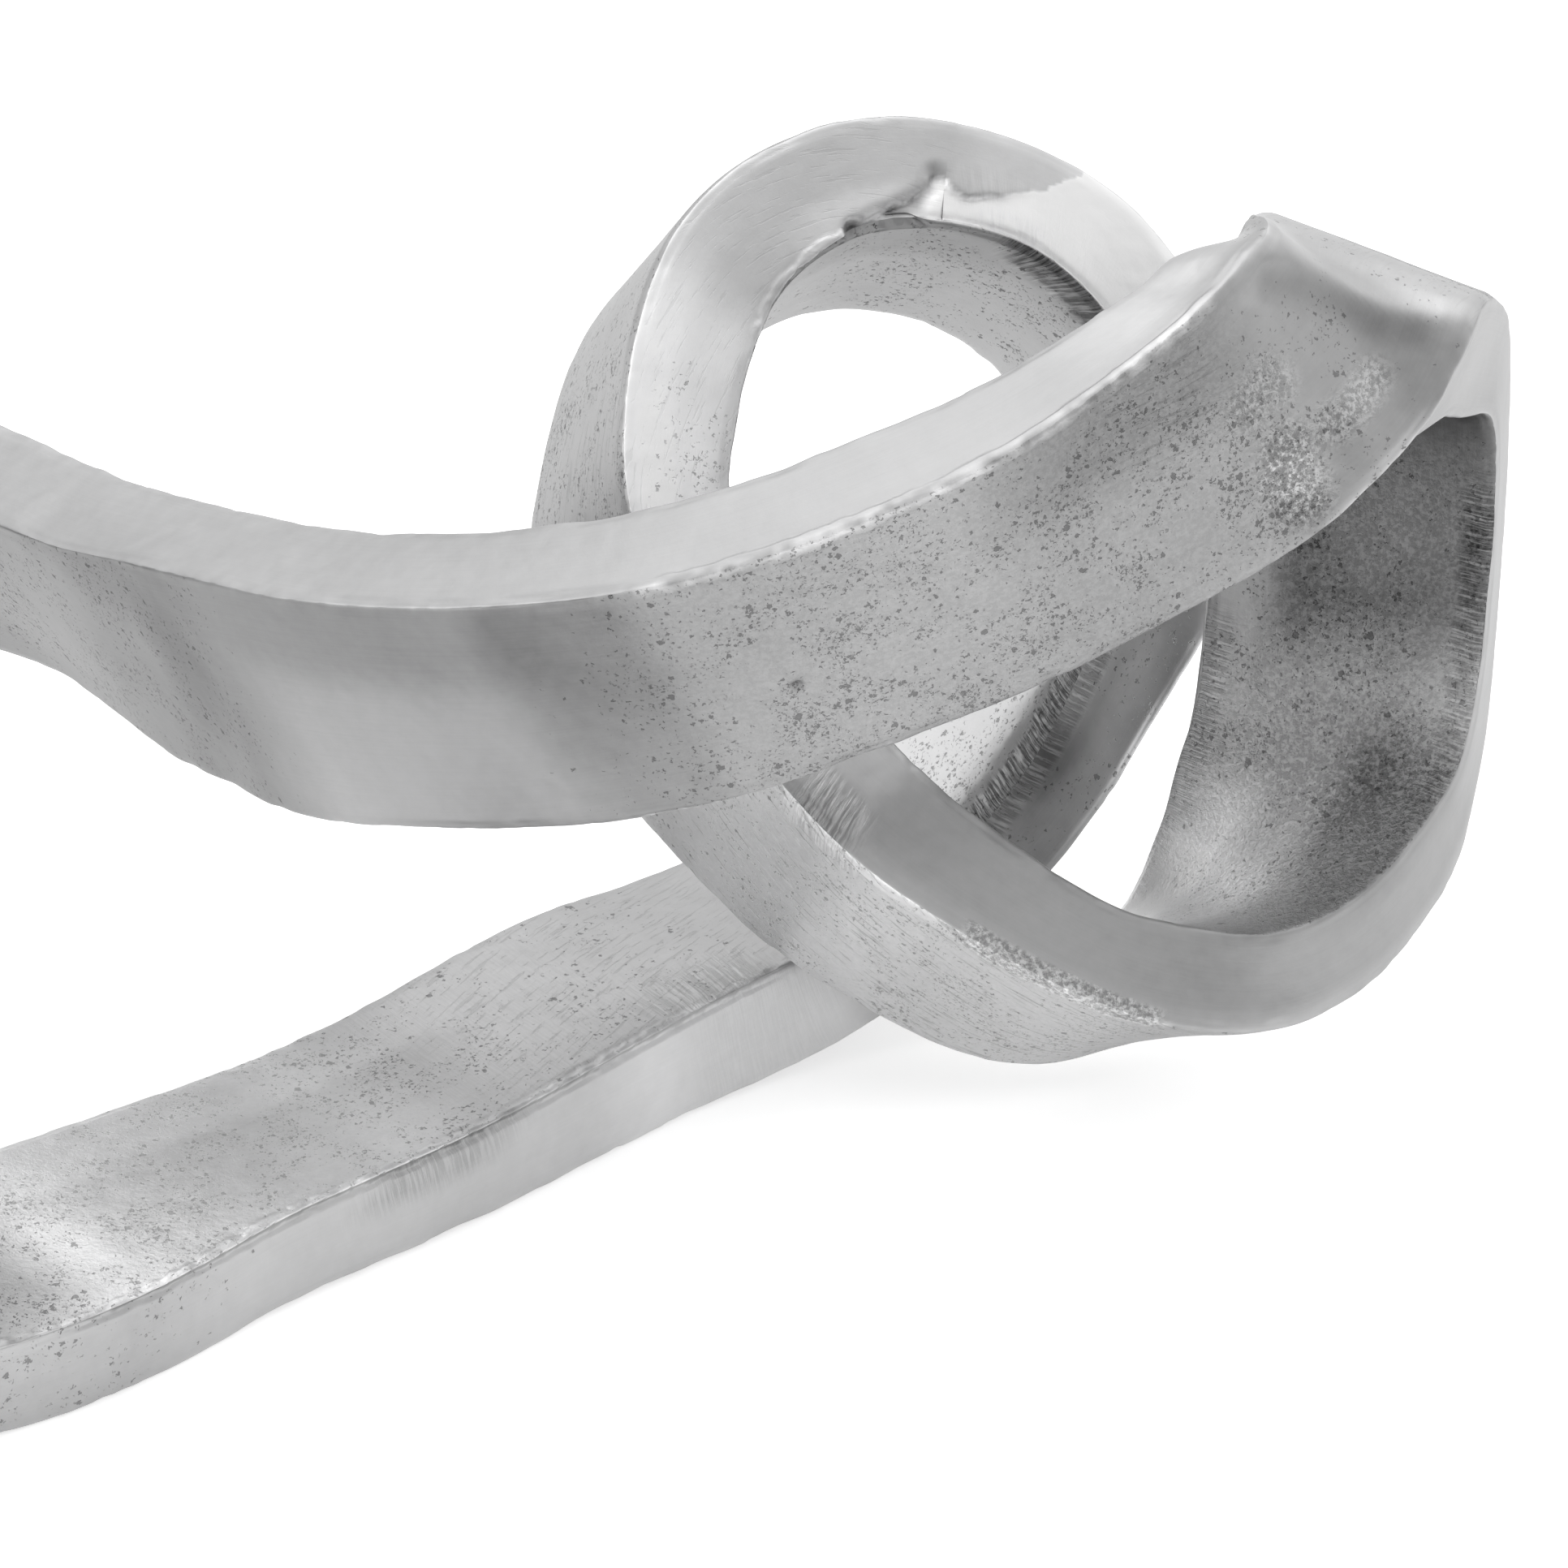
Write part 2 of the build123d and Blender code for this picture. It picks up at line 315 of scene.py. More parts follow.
@dataclass
class BarSkin:
    """The whole bar as one closed skin of quads, before it is cut at the joints.

    Args:
        wide_cuts: Faces across each wide side.
        thin_cuts: Faces across each thin side.
        corner_cuts: Faces round each long edge.
        edge_radius: Radius of the long edges, in millimetres.
        weld_half: Half the width of a weld, in millimetres.
        levels: Subdivision levels.
        places: Places of the first sections, once laid out.
        owners: Name of the piece between each first section and the next.
    """

    NOTES = ("ring", "slot", "turn_x", "turn_y", "across", "outward")

    wide_cuts: int = 10
    thin_cuts: int = 4
    corner_cuts: int = 2
    edge_radius: float = 0.9
    weld_half: float = 1.5
    levels: int = 3
    places: list[float] = field(default_factory=list)
    owners: list[str] = field(default_factory=list)

    def outline(self, wide: float, thick: float) -> np.ndarray:
        """Points of one section round the bar, as (across, outward) pairs in millimetres."""
        radius = self.edge_radius
        flat, side = wide / 2 - radius, thick / 2 - radius
        corners = ((flat, side, 0), (-flat, side, 1), (-flat, -side, 2), (flat, -side, 3))
        points = []
        for index, (a, b, turn) in enumerate(corners):
            for cut in range(self.corner_cuts + 1):
                angle = math.pi / 2 * (turn + cut / self.corner_cuts)
                points.append((a + radius * math.cos(angle), b + radius * math.sin(angle)))
            after = corners[(index + 1) % 4]
            angle = math.pi / 2 * (turn + 1)
            first = np.array(points[-1])
            last = np.array(after[:2]) + (radius * math.cos(angle), radius * math.sin(angle))
            cuts = self.wide_cuts if index % 2 == 0 else self.thin_cuts
            points += [tuple(first + (last - first) * cut / cuts) for cut in range(1, cuts)]
        return np.array(points)

    def lay_out(self) -> None:
        """Lists the places of all first sections, and the piece that each band belongs to."""
        near = 0.1
        for span in SPANS:
            per_key_start = BAR.length(span.start, span.start + near) / near
            per_key_end = BAR.length(span.end - near, span.end) / near
            first = span.start + self.weld_half / per_key_start
            last = span.end - self.weld_half / per_key_end
            count = max(2, round(BAR.length(first, last) / span.spacing))
            fine = np.linspace(first, last, 400)
            run = BAR.run(fine)
            for step in range(count + 1):
                self.places.append(float(np.interp(run[-1] * step / count, run, fine)))
                self.owners.append(f"{span.name}_casting" if step < count else f"{span.joint}_weld")

    def build(self) -> Piece:
        """Extrudes the first section all along the bar and closes it on itself.

        Returns:
            The coarse skin, with one material slot for each casting and weld.
        """
        self.lay_out()
        deselect()
        around = len(self.outline(*BAR.sizes[0]))
        bpy.ops.mesh.primitive_circle_add(vertices=around, radius=0.01, fill_type="NOTHING")
        skin = bpy.context.object
        skin.name = "bar_skin"
        slots = {name: index for index, name in enumerate(dict.fromkeys(self.owners))}
        for name in slots:
            skin.data.materials.append(bpy.data.materials.new(name))
        with editing(skin):
            bpy.ops.mesh.select_all(action="SELECT")
            self.shape_ring(skin, self.places[0], 0)
            for number, place in enumerate(self.places[1:], start=1):
                bpy.ops.mesh.extrude_region_move()
                self.shape_ring(skin, place, number)
            bpy.ops.mesh.extrude_region_move()
            self.shape_ring(skin, self.places[0] + BAR.count, len(self.places))
        mesh = skin.data
        ring = read(mesh, "ring")
        corners = np.zeros(len(mesh.loops), np.int32)
        mesh.loops.foreach_get("vertex_index", corners)
        band = ring[corners].reshape(-1, 4).min(axis=1).round().astype(int)
        owner = np.array([slots[name] for name in self.owners], np.int32)
        mesh.polygons.foreach_set("material_index", owner[band])
        with editing(skin):
            bpy.ops.mesh.select_all(action="SELECT")
            bpy.ops.mesh.remove_doubles(threshold=1e-7)
            bpy.ops.mesh.normals_make_consistent(inside=False)
        return skin

    def shape_ring(self, skin: Piece, place: float, number: int) -> None:
        """Moves the selected ring of points to the section at a place, and notes where it is.

        Args:
            skin: The skin, in edit mode, with one ring selected.
            place: Place along the bar, in keys.
            number: Number of the ring.
        """
        work = bmesh.from_edit_mesh(skin.data)
        floats = work.verts.layers.float
        layer = {name: floats.get(name) or floats.new(name) for name in self.NOTES}
        ring = [v for v in work.verts if v.select]
        if number == 0:
            ring.sort(key=lambda v: v.index)
            for slot, vert in enumerate(ring):
                vert[layer["slot"]] = slot
        centre, across, outward, (wide, thick) = BAR.section(place)
        shares = self.outline(wide, thick)
        angle = 2 * math.pi * place / BAR.count
        for vert in ring:
            a, b = shares[round(vert[layer["slot"]])]
            vert.co = Vector((centre + a * across + b * outward) * MM)
            vert[layer["ring"]] = number
            vert[layer["turn_x"]], vert[layer["turn_y"]] = math.cos(angle), math.sin(angle)
            vert[layer["across"]], vert[layer["outward"]] = a, b
        bmesh.update_edit_mesh(skin.data)


@dataclass(frozen=True)
class Stroke:
    """A soft stroke over one side of the bar, in bar coordinates.

    Args:
        side: The long side that it lies on.
        start, end: Places along the bar, in keys.
        low, high: Limits across the side, from -1 to 1.
        amount: Strength, or depth in millimetres.
        soft: Softness at the limits, as a share of the stroke.
        slant: How far its places shift along the bar for each unit across.
    """

    side: Side
    start: float
    end: float
    low: float
    high: float
    amount: float
    soft: float
    slant: float = 0.0


def strokes(side: Side, *rows: tuple[float, ...]) -> tuple[Stroke, ...]:
    """Strokes on one side, from rows of start, end, low, high, amount, soft and slant."""
    return tuple(Stroke(side, *row) for row in rows)


@dataclass(frozen=True)
class Spot:
    """A round dent or rough spot.

    Args:
        x, y, z: Its middle in millimetres, in the part's frame.
        radius: Its radius in millimetres.
        amount: Strength, or depth in millimetres.
    """

    x: float
    y: float
    z: float
    radius: float
    amount: float


@dataclass(frozen=True)
class Line:
    """A crease or a ridge along points on the skin.

    Args:
        points: Its points in millimetres, in the part's frame.
        radius: Half its width in millimetres.
        amount: Strength, or height in millimetres, in its middle.
        sharp: Whether it rises to a sharp crest.
        ragged: How much its strength comes and goes, from 0 to 1.
    """

    points: tuple[tuple[float, float, float], ...]
    radius: float
    amount: float
    sharp: bool = False
    ragged: float = 0.0


@dataclass(frozen=True)
class Step:
    """The part of a side below a ragged border, like the lower of two lapped plates.

    Args:
        side: The long side that it lies on.
        border: (place, cross position) pairs of its upper border, in order of place.
        amount: Strength, or drop in millimetres, just below the border.
        tilt: Further drop in millimetres for each unit of cross position.
        fade: Length in keys over which it starts and ends.
        above: Whether it is the part above the border instead.
        soft: Softness of the border, in cross positions.
    """

    side: Side
    border: tuple[tuple[float, float], ...]
    amount: float
    tilt: float
    fade: float
    above: bool = False
    soft: float = 0.08


Mark = Stroke | Spot | Line | Step


@dataclass
class SkinPoints:
    """All points of the fine skin with their places on the bar, as arrays.

    Args:
        mesh: The fine skin's mesh.
    """

    MARKS_PER_KEY = 12

    mesh: Mesh

    def __post_init__(self) -> None:
        """Reads the points, their normals and their places on the bar."""
        count = len(self.mesh.vertices)
        flat = np.zeros(count * 3, np.float32)
        self.mesh.vertices.foreach_get("co", flat)
        self.points = flat.reshape(-1, 3).astype(float) / MM
        self.home = self.points.copy()
        self.mesh.vertex_normals.foreach_get("vector", flat)
        self.normals = flat.reshape(-1, 3).astype(float)
        turn = np.arctan2(read(self.mesh, "turn_y"), read(self.mesh, "turn_x"))
        self.place = turn / (2 * math.pi) * BAR.count % BAR.count
        self.across = read(self.mesh, "across")
        self.outward = read(self.mesh, "outward")
        marks = np.linspace(0, BAR.count, BAR.count * self.MARKS_PER_KEY + 1)
        sizes = np.array([BAR.along(BAR.sizes, mark) for mark in marks])
        self.half_wide = np.interp(self.place, marks, sizes[:, 0]) / 2
        self.half_thick = np.interp(self.place, marks, sizes[:, 1]) / 2
        self.run = np.interp(self.place, marks, BAR.run(marks))
        gap_a = self.half_wide - np.abs(self.across)
        gap_b = self.half_thick - np.abs(self.outward)
        self.on_wide = gap_b < gap_a
        self.from_edge = np.maximum(gap_a, gap_b)
        self.jitter = noise(self.points, 1.6, Seed.BORDER) * 0.05
        self.jitter += noise(self.points, 0.7, Seed.FINE_BORDER) * 0.04

    def facing(self, side: Side) -> tuple[np.ndarray, np.ndarray]:
        """Which points lie on a side, and the cross position of each from -1 to 1."""
        a, b = side.value
        if a:
            return ~self.on_wide & (self.across * a > 0), self.outward / self.half_thick
        return self.on_wide & (self.outward * b > 0), self.across / self.half_wide

    def sum(self, marks: tuple[Mark, ...]) -> np.ndarray:
        """Summed strength of marks of any kind at each point."""
        kinds = {Stroke: self.stroke, Spot: self.spot, Line: self.line, Step: self.step}
        total = np.zeros(len(self.points))
        for mark in marks:
            total += kinds[type(mark)](mark)
        return total

    def line(self, line: Line) -> np.ndarray:
        """Strength of a line at each point, from 0 to its amount."""
        ends = np.array(line.points, float)
        low, high = ends.min(axis=0) - line.radius, ends.max(axis=0) + line.radius
        near = np.flatnonzero(((self.home > low) & (self.home < high)).all(axis=1))
        at = self.home[near]
        away = np.full(len(near), 1e9)
        for start, end in zip(ends, ends[1:]):
            way = end - start
            share = np.clip((at - start) @ way / way.dot(way), 0, 1)
            away = np.minimum(away, np.linalg.norm(at - start - share[:, None] * way, axis=1))
        away /= line.radius
        strength = np.clip(1 - away, 0, 1) if line.sharp else 1 - step_up(away, 0.1, 1.0)
        if line.ragged:
            tear = noise(at, 2.6, Seed.RAGGED) + noise(at, 0.9, Seed.FINE_RAGGED) - 0.4
            strength *= np.clip(1 + line.ragged * tear, 0, 1.6)
        total = np.zeros(len(self.points))
        total[near] = strength * line.amount
        return total

    def step(self, step: Step) -> np.ndarray:
        """Strength of a step at each point."""
        on_side, cross = self.facing(step.side)
        places, border = np.array(step.border).T
        jitter = self.jitter * min(1, 0.08 / step.soft)
        below = np.interp(self.place, places, border) + jitter - cross
        below *= -1 if step.above else 1
        first = step_up(self.place, places[0] - 0.01, places[0] + step.fade)
        last = 1 - step_up(self.place, places[-1] - step.fade, places[-1])
        drop = step.amount + step.tilt * np.clip(below, 0, 2)
        return drop * step_up(below, 0, step.soft) * first * last * on_side

    def stroke(self, stroke: Stroke) -> np.ndarray:
        """Strength of a stroke at each point, from 0 to its amount."""
        on_side, cross = self.facing(stroke.side)
        turn = BAR.count / 2
        ahead = self.place - (stroke.start + stroke.end) / 2 - stroke.slant * cross
        ahead = np.abs((ahead + turn) % BAR.count - turn)
        aside = np.abs(cross + self.jitter * 0.6 - (stroke.high + stroke.low) / 2)
        strength = stroke.amount * on_side
        for away, reach in ((ahead, stroke.end - stroke.start), (aside, stroke.high - stroke.low)):
            soft = max(reach * stroke.soft, 1e-3) / 2
            strength = strength * (1 - step_up(away, reach / 2 - soft, reach / 2 + soft))
        return strength

    def spot(self, spot: Spot) -> np.ndarray:
        """Strength of a spot at each point, from 0 to its amount."""
        away = np.linalg.norm(self.home - (spot.x, spot.y, spot.z), axis=1) / spot.radius
        return spot.amount * (1 - step_up(away, 0.15, 1.0))

    def move(self, depth: np.ndarray) -> None:
        """Moves each point outwards by a depth in millimetres."""
        self.points += self.normals * depth[:, None]

    def settle(self) -> None:
        """Writes the points back, cut flat where they reach the table."""
        self.points[:, 2] = np.maximum(self.points[:, 2], 0)
        self.mesh.vertices.foreach_set("co", (self.points * MM).astype(np.float32).ravel())
        self.mesh.update()


@dataclass
class CastingWork:
    """What the foundry and the file did to the bar: waves, worn edges, dents and pits.

    Args:
        waves: Height of the slow waves in millimetres.
        lumps: Height of the small lumps in millimetres.
        wear: How much the long edges are worn, in millimetres.
        hollows: Marks sunk into the skin, in millimetres.
        swells: Marks raised on the skin, in millimetres.
        teeth: Marks where file cuts nick the skin, in millimetres.
    """

    waves: float = 0.12
    lumps: float = 0.05
    wear: float = 0.30
    hollows: tuple[Mark, ...] = ()
    swells: tuple[Mark, ...] = ()
    teeth: tuple[Mark, ...] = ()

    def work(self, skin: SkinPoints) -> None:
        """Works the whole skin over."""
        at = skin.points
        edge = 1 - step_up(skin.from_edge, 0.3, 2.0)
        slow = noise(at, 24, Seed.WAVES) * self.waves + noise(at, 9, Seed.LUMPS) * self.lumps
        grain = noise(at, 3.1, Seed.GRAIN) * 0.03 + noise(at, 1.3, Seed.FINE_GRAIN) * 0.012
        worn = noise(at, 11, Seed.WEAR) * 0.6 + noise(at, 4.2, Seed.FINE_WEAR) * 0.5 + 0.45
        nick = np.clip(noise(at, 2.1, Seed.NICKS) - 0.25, 0, 1) * 0.175
        depth = slow * (1 - 0.5 * edge) + grain - edge * (np.clip(worn, 0, 2) * self.wear + nick)
        depth += skin.sum(self.swells) - skin.sum(self.hollows)
        comb = skin.run * 2.6 + skin.across * 0.9 + noise(at, 5, Seed.COMB) * 1.5
        bite = np.abs(np.sin(comb)) ** 3 * (0.6 + 0.4 * noise(at, 2.2, Seed.BITE))
        depth -= skin.sum(self.teeth) * bite
        skin.move(depth)


def smooth_piece(piece: Piece) -> None:
    """Closes the cut ends of a piece and shades it smooth, with the rim of each end sharp."""
    pick(piece)
    bpy.ops.object.shade_smooth()
    with editing(piece):
        bpy.ops.mesh.select_all(action="DESELECT")
        bpy.ops.mesh.select_mode(type="EDGE")
        others = ("use_wire", "use_multi_face", "use_non_contiguous", "use_verts")
        bpy.ops.mesh.select_non_manifold(extend=False, **dict.fromkeys(others, False))
        bpy.ops.mesh.mark_sharp()
        bpy.ops.mesh.select_all(action="SELECT")
        bpy.ops.mesh.fill_holes(sides=0)


# upper border of the lapped seam over the top of the ring, as (place, cross position)
SEAM = (
    (22.98, -1.0), (23.60, -0.97), (23.95, -0.93), (24.25, -0.78), (24.43, -0.56), (24.53, -0.33),
    (24.58, -0.02), (24.66, -0.30), (24.75, -0.36), (24.93, -0.19), (25.12, 0.19), (25.32, 1.05),
    (26.80, 1.10),
)
# torn notch at the seam's lowest point
SEAM_NOTCH = (
    (59.8, 28.1, 104.4), (63.3, 29.6, 105.6), (66.4, 31.2, 106.6), (68.6, 32.6, 107.4),
    (69.8, 34.2, 109.2),
)
# raised crease across the fold
FOLD_CREASE = (
    (103.5, -18.9, 117.6), (108.2, -15.3, 116.0), (112.4, -13.0, 112.6), (117.2, -11.6, 109.7),
    (121.6, -11.8, 107.7), (126.5, -11.8, 107.2),
)
# dent under that crease
FOLD_DENT = (
    (105.6, -18.8, 115.0), (109.8, -15.8, 112.8), (113.8, -14.0, 109.9), (119.5, -13.1, 106.7),
    (123.1, -12.9, 105.7),
)
# border of the bright band on the fold, as (place, cross position)
FOLD_BORDER = (
    (8.60, 1.10), (8.72, 0.97), (8.97, 0.74), (9.20, 0.39), (9.43, -0.01), (9.55, -0.36),
    (9.72, -0.71), (9.95, -1.15), (10.60, -1.20),
)
# soft crease down the left end of the front arm
LEFT_CREASE = (
    (-40.8, 33.6, 63.4), (-33.0, 20.8, 63.0), (-25.5, 14.1, 59.6), (-20.8, 12.2, 53.0),
    (-19.4, 17.0, 43.0), (-19.6, 24.4, 34.0),
)
# laps, dents, chips and creases, in millimetres
HOLLOWS = (
    Step(Side.LOW_EDGE, SEAM[:11], 0.75, 0.6, 0.40),
    Step(Side.LOW_EDGE, ((24.5, -0.45), *SEAM[6:]), 0.0, 0.6, 0.6, soft=0.2),
    Line(SEAM_NOTCH, 2.2, 0.6, ragged=0.5),
    Spot(59.8, 28.1, 104.4, 1.8, 1.2),
    Line(LEFT_CREASE, 9.0, 0.5),
    Line(FOLD_DENT, 3.2, 0.5),
    Spot(108.7, -23.7, 91.8, 5.0, 0.5),
    Spot(52.8, -34.3, 71.8, 1.2, 0.6),
    Spot(-33.2, -65.4, 15.0, 9.0, 0.35),
    *strokes(Side.FACE, (5.70, 6.10, *WHOLE, 0.30, 0.6)),
    *strokes(Side.BACK, (22.85, 24.5, -1.2, -0.90, 1.5, 0.1), (13.9, 14.6, 0.55, 0.9, 0.45, 0.5)),
    *strokes(Side.LOW_EDGE, (31.5, 34.9, -1.2, -0.86, 0.30, 0.1)),
)
# ridges and bulges, in millimetres
SWELLS = (
    Line(FOLD_CREASE, 6.0, 0.8, sharp=True),
    Spot(97.5, -13.0, 115.6, 8.0, 1.0),
    Spot(-28.0, 14.0, 52.0, 12.0, 0.4),
    *strokes(Side.FACE, (6.2, 8.3, 0.94, 1.3, 0.28, 0.1)),
    *strokes(Side.BACK, (31.4, 35.2, -1.3, -0.95, 0.28, 0.1), (14.2, 15.3, -0.7, 0.6, 0.3, 0.9)),
    *strokes(Side.TOP_EDGE, (6.2, 8.3, 0.82, 1.4, 0.28, 0.1)),
    *strokes(Side.LOW_EDGE, (22.9, 24.0, -1.3, -0.88, 0.30, 0.1)),
)
# edges that the file has nicked, in millimetres
TEETH = (
    *strokes(
        Side.BACK, (28.3, 30.2, -1.2, -0.72, 0.35, 0.2), (13.9, 16.4, 0.80, 1.2, 0.22, 0.3),
        (12.8, 15.2, -1.2, -0.80, 0.22, 0.3), (25.4, 26.5, -1.2, -0.60, 0.20, 0.3, 0.4),
        (31.5, 32.1, -1.2, -0.6, 0.12, 0.5),
    ),
    *strokes(
        Side.LOW_EDGE, (28.3, 30.2, -1.2, -0.55, 0.30, 0.2), (19.3, 19.8, 0.2, 1.2, 0.25, 0.4),
    ),
)
# open pits, close together where the amount is large
PITTED = (
    Spot(108.7, -23.7, 91.8, 7.0, 0.9),
    Spot(114.6, -19.3, 100.1, 6.0, 0.7),
    Spot(118.6, -17.2, 101.2, 5.0, 0.7),
    Spot(52.8, -34.3, 71.8, 2.0, 0.6),
    *strokes(
        Side.FACE, (6.05, 8.35, -1.2, 0.35, 0.45, 0.4), (6.10, 8.30, *WHOLE, 0.50, 0.3),
        (8.2, 9.2, -1.0, 0.4, 0.40, 0.6), (3.0, 4.5, *WHOLE, 0.50, 0.5),
        (17.6, 20.4, *WHOLE, 0.70, 0.4), (21.4, 22.6, -1.2, 0.9, 0.80, 0.4),
        (10.2, 17.5, *WHOLE, 0.40, 0.2), (22.6, 40.9, *WHOLE, 0.42, 0.1),
    ),
    *strokes(
        Side.BACK, (32.9, 35.3, -1.0, 1.0, 1.05, 0.5), (31.6, 33.0, -1.0, 1.0, 0.25, 0.5),
        (12.8, 17.4, *WHOLE, 0.50, 0.3), (24.0, 27.4, -1.0, 1.0, 0.55, 0.5),
        (28.0, 30.4, -1.0, 1.0, 0.70, 0.5), (2.0, 8.8, *WHOLE, 0.45, 0.2),
        (17.4, 22.5, *WHOLE, 0.40, 0.2), (35.2, 40.0, *WHOLE, 0.42, 0.1),
    ),
    *strokes(Side.TOP_EDGE, (8.9, 9.9, -1.0, 1.0, 0.55, 0.5), (12.5, 36.0, *WHOLE, 0.22, 0.1)),
    *strokes(
        Side.LOW_EDGE, (21.3, 22.5, -1.2, 0.4, 0.45, 0.5), (26.5, 29.8, -1.0, 1.0, 0.30, 0.5),
        (34.5, 40.5, *WHOLE, 0.25, 0.1),
    ),
)
# brighter tone: rubbed polish in places, and painted highlights where faces and bands catch the
# light
POLISH_AND_HIGHLIGHTS = (
    Step(Side.LOW_EDGE, ((24.50, -0.55), *SEAM[6:]), 1.25, 0.0, 0.10),
    Step(Side.FACE, FOLD_BORDER, 0.42, 0.0, 0.1, above=True, soft=0.35),
    Spot(109.5, -23.4, 92.5, 6.0, 0.45),
    Spot(117.5, -17.6, 101.0, 4.0, 0.2),
    *strokes(
        Side.FACE, (17.7, 20.4, *WHOLE, 0.45, 0.2), (18.9, 20.2, *WHOLE, 0.45, 0.5),
        (4.8, 5.75, -1.2, 0.3, 0.22, 0.3),
    ),
    *strokes(
        Side.BACK, (15.6, 17.8, 0.25, 1.2, 0.35, 0.5), (16.1, 17.8, -0.5, 1.2, 0.6, 0.5),
        (28.2, 30.4, -0.5, 1.2, 0.95, 0.25), (33.1, 34.9, *WHOLE, 0.70, 0.3),
        (32.7, 34.9, 0.3, 1.2, 0.30, 0.3), (15.4, 17.6, 0.3, 1.2, 0.30, 0.3),
        (16.2, 17.6, -0.4, 1.2, 0.40, 0.2), (31.2, 33.0, *WHOLE, 0.10, 0.4),
    ),
    *strokes(Side.TOP_EDGE, (2.5, 5.2, *WHOLE, 0.15, 0.4), (7.8, 9.4, -1.2, 0.5, 0.30, 0.4)),
    *strokes(
        Side.LOW_EDGE, (24.7, 25.6, -0.3, 1.2, 0.45, 0.4), (21.3, 22.9, *WHOLE, 0.95, 0.4),
        (21.5, 23.3, 0.2, 1.2, 0.25, 0.5), (22.7, 24.6, *WHOLE, 0.25, 0.2),
        (25.3, 27.4, *WHOLE, 0.5, 0.2), (4.8, 7.6, *WHOLE, 0.35, 0.2),
        (21.6, 22.4, -0.6, 0.6, 0.30, 0.6), (23.6, 24.7, -1.2, -0.3, 0.30, 0.4),
        (27.6, 29.3, 0.0, 1.2, 0.35, 0.5), (30.8, 32.4, *WHOLE, 0.55, 0.3),
        (32.2, 34.4, *WHOLE, 0.28, 0.3), (34.2, 35.6, *WHOLE, 0.15, 0.3),
        (19.3, 20.0, -1.2, 0.6, 0.25, 0.4),
    ),
)
# painted shade: darker tone in the seam crack and its black hole, in creases and dents, on the
# riser's shadowed inner side and on faces turned from the light, with a few darker filed bands
SHADED = (
    Spot(59.8, 28.1, 104.4, 1.7, 3.0),
    Spot(52.8, -34.3, 71.8, 1.4, 0.9),
    Line(SEAM_NOTCH, 2.0, 0.8, ragged=0.6),
    Line(FOLD_DENT, 4.0, 0.45),
    Line(LEFT_CREASE, 8.0, 0.15),
    *strokes(
        Side.FACE, (2.6, 4.6, *WHOLE, 0.50, 0.15), (4.4, 5.5, *WHOLE, 0.15, 0.3),
        (4.5, 6.15, -0.1, 1.6, 0.45, 0.9), (5.65, 6.10, *WHOLE, 0.50, 0.4),
        (6.05, 7.3, *WHOLE, 0.15, 0.2), (7.2, 8.4, *WHOLE, 0.45, 0.4),
        (7.2, 8.2, 0.3, 1.2, 0.45, 0.5), (8.2, 8.8, -1.2, -0.3, 0.40, 0.5),
        (9.2, 9.8, -1.2, 0.2, 0.40, 0.5),
    ),
    *strokes(
        Side.BACK, (22.85, 24.15, -1.2, -0.93, 1.7, 0.1), (34.80, 35.40, -1.1, 0.5, 0.50, 0.7),
        (11.8, 13.9, -1.2, 0.45, 1.35, 0.35), (12.2, 14.2, 0.3, 1.2, 0.55, 0.4),
        (13.8, 15.6, -0.6, 0.4, 0.45, 0.5), (14.6, 16.4, -1.2, -0.25, 0.80, 0.4),
        (25.40, 26.5, -1.2, -0.68, 1.0, 0.15, 0.4), (23.3, 26.4, -1.2, -0.4, 0.30, 0.4),
        (28.4, 30.4, -1.2, -0.58, 0.9, 0.2), (34.85, 35.25, -1.2, -0.2, 0.4, 0.8),
    ),
    *strokes(
        Side.LOW_EDGE, (33.05, 33.7, -1.2, -0.2, 0.45, 0.6, 0.2),
        (31.5, 34.9, -1.2, -0.90, 0.9, 0.1), (14.8, 16.7, -1.2, -0.5, 0.2, 0.8),
        (14.8, 19.4, -1.2, 0.6, 0.25, 0.2), (19.3, 19.8, 0.1, 1.2, 0.3, 0.5),
        (28.2, 29.4, -1.2, -0.2, 0.35, 0.4), (29.0, 30.2, *WHOLE, 0.80, 0.3),
    ),
)
# coarse file marks
FILED = (
    *TEETH,
    *strokes(Side.FACE, (19.2, 19.8, -1.2, -0.75, 0.5, 0.4)),
    *strokes(
        Side.BACK, (28.3, 30.3, -1.2, -0.74, 0.9, 0.1), (13.9, 16.9, 0.76, 1.2, 0.5, 0.2),
        (12.8, 15.4, -1.2, -0.76, 0.45, 0.2), (25.35, 26.5, -1.2, -0.62, 0.6, 0.2, 0.4),
        (31.4, 32.1, -1.2, -0.5, 0.5, 0.6), (32.0, 33.0, *WHOLE, 0.10, 0.5),
    ),
    *strokes(
        Side.LOW_EDGE, (28.3, 30.3, -1.2, -0.50, 0.35, 0.2), (19.3, 19.7, 0.3, 1.2, 0.6, 0.5),
        (24.7, 25.6, -1.2, 0.1, 0.25, 0.4), (31.0, 32.0, *WHOLE, 0.12, 0.4),
        (33.05, 33.7, -1.2, -0.2, 0.4, 0.6, 0.2),
    ),
)
# single scratches along the bar
SCORED = (
    *strokes(
        Side.FACE, (17.4, 20.4, *WHOLE, 1.0, 0.3), (21.4, 22.6, *WHOLE, 0.7, 0.4),
        (7.6, 8.2, 0.2, 1.0, 0.5, 0.6), (10.4, 16.8, *WHOLE, 0.5, 0.3),
        (23.5, 36.5, *WHOLE, 0.5, 0.2),
    ),
    *strokes(Side.BACK, (31.0, 32.8, *WHOLE, 0.35, 0.4), (35.6, 39.8, *WHOLE, 0.5, 0.2)),
    *strokes(Side.LOW_EDGE, (21.3, 24.6, *WHOLE, 0.25, 0.2)),
)
